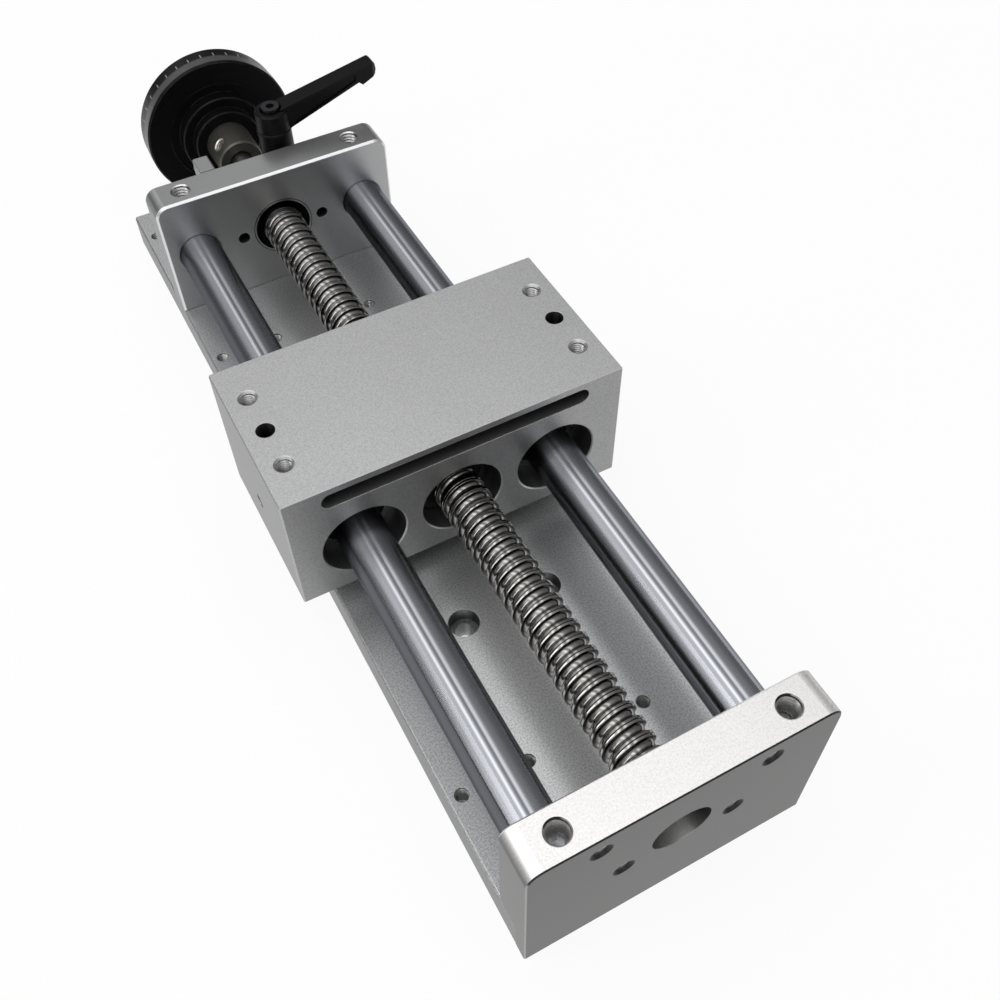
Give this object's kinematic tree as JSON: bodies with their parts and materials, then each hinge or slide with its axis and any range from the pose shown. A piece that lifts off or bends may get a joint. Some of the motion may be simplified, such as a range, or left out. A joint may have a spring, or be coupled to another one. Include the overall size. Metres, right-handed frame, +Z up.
{
  "type": "linear translation stage",
  "caption": "Manual linear stage: a bored carriage on two guide rods between end plates, driven by a ball screw with a graduated handwheel and a lever shaft clamp.",
  "frame": {"origin": "centre of the base plate's underside, midway between the two end plates", "axes": "+Z up from the base plate, +Y along the travel towards the handwheel, +X across to the right when looking along +Y"},
  "size_m": [0.115, 0.3617, 0.0826],
  "materials": {
    "anodised_plate": "sand-blasted, clear anodised",
    "black_screws": "black oxide",
    "bright_screws": "bright zinc plate",
    "chrome_rod": "hard chrome, ground and polished",
    "bearing_steel": "ground bearing steel",
    "screw_steel": "rolled, lightly oiled",
    "dark_steel": "black oxide",
    "wheel_black": "black anodised, satin",
    "hub_grey": "hard anodised, olive grey",
    "resin_cage": "moulded resin",
    "seal_rubber": "nitrile",
    "lever_coat": "black powder coat"
  },
  "bodies": {
    "frame": {"base_plate": "anodised_plate", "idle_end_plate": "anodised_plate", "drive_end_plate": "anodised_plate", "idle_plate_screws": "black_screws", "drive_plate_screws": "black_screws", "clamp_foot_screws": "black_screws", "clamp_plate_screws": "black_screws", "rod_set_screws": "bright_screws", "guide_rod_left": "chrome_rod", "guide_rod_right": "chrome_rod", "idle_bearing_outer": "bearing_steel", "drive_bearing_outers": "bearing_steel", "clamp_block": "anodised_plate", "lever_washer": "bright_screws"},
    "carriage": {"carriage_block": "anodised_plate", "bushing_sleeve_left": "bearing_steel", "bushing_sleeve_right": "bearing_steel", "bushing_cage_left": "resin_cage", "bushing_cage_right": "resin_cage", "bushing_seals_left": "seal_rubber", "bushing_seals_right": "seal_rubber", "bushing_set_screws": "bright_screws", "ball_nut": "bearing_steel", "nut_wipers": "seal_rubber", "nut_set_screw": "bright_screws"},
    "screw": {"ball_screw": "screw_steel", "idle_bearing_inner": "bearing_steel", "drive_bearing_inners": "bearing_steel", "bearing_spacer": "bearing_steel", "lock_nut": "dark_steel", "handwheel": "wheel_black", "dial_ring": "wheel_black", "hub_collar": "hub_grey", "hub_set_screw": "bright_screws"},
    "lever_stud": {"lever_insert": "bright_screws", "lever_screw": "dark_steel", "lever_spring": "bright_screws"},
    "lever_handle": {"clamp_lever": "lever_coat"}
  },
  "joints": [
    {"name": "screw_spin", "type": "hinge", "parent": "frame", "child": "screw", "pos_m": [0, 0, 0.03875], "axis": [0, 1, 0], "range_deg": [-6650, 7730]},
    {"name": "carriage_slide", "type": "slide", "parent": "frame", "child": "carriage", "axis": [0, 1, 0], "range_m": [-0.1075, 0.0925]},
    {"name": "lever_turn", "type": "hinge", "parent": "frame", "child": "lever_stud", "pos_m": [0.0098, 0.15475, 0.05], "axis": [0, 0, 1], "range_deg": [-45, 90]},
    {"name": "lever_lift", "type": "slide", "parent": "lever_stud", "child": "lever_handle", "axis": [0, 0, 1], "range_m": [0, 0.003], "stiffness_N_per_m": 500, "springref_m": -0.003, "deforming": ["lever_spring"]}
  ],
  "couplings": [
    {"joint": "carriage_slide", "follows": "screw_spin", "m_per_rad": -0.00079577}
  ]
}
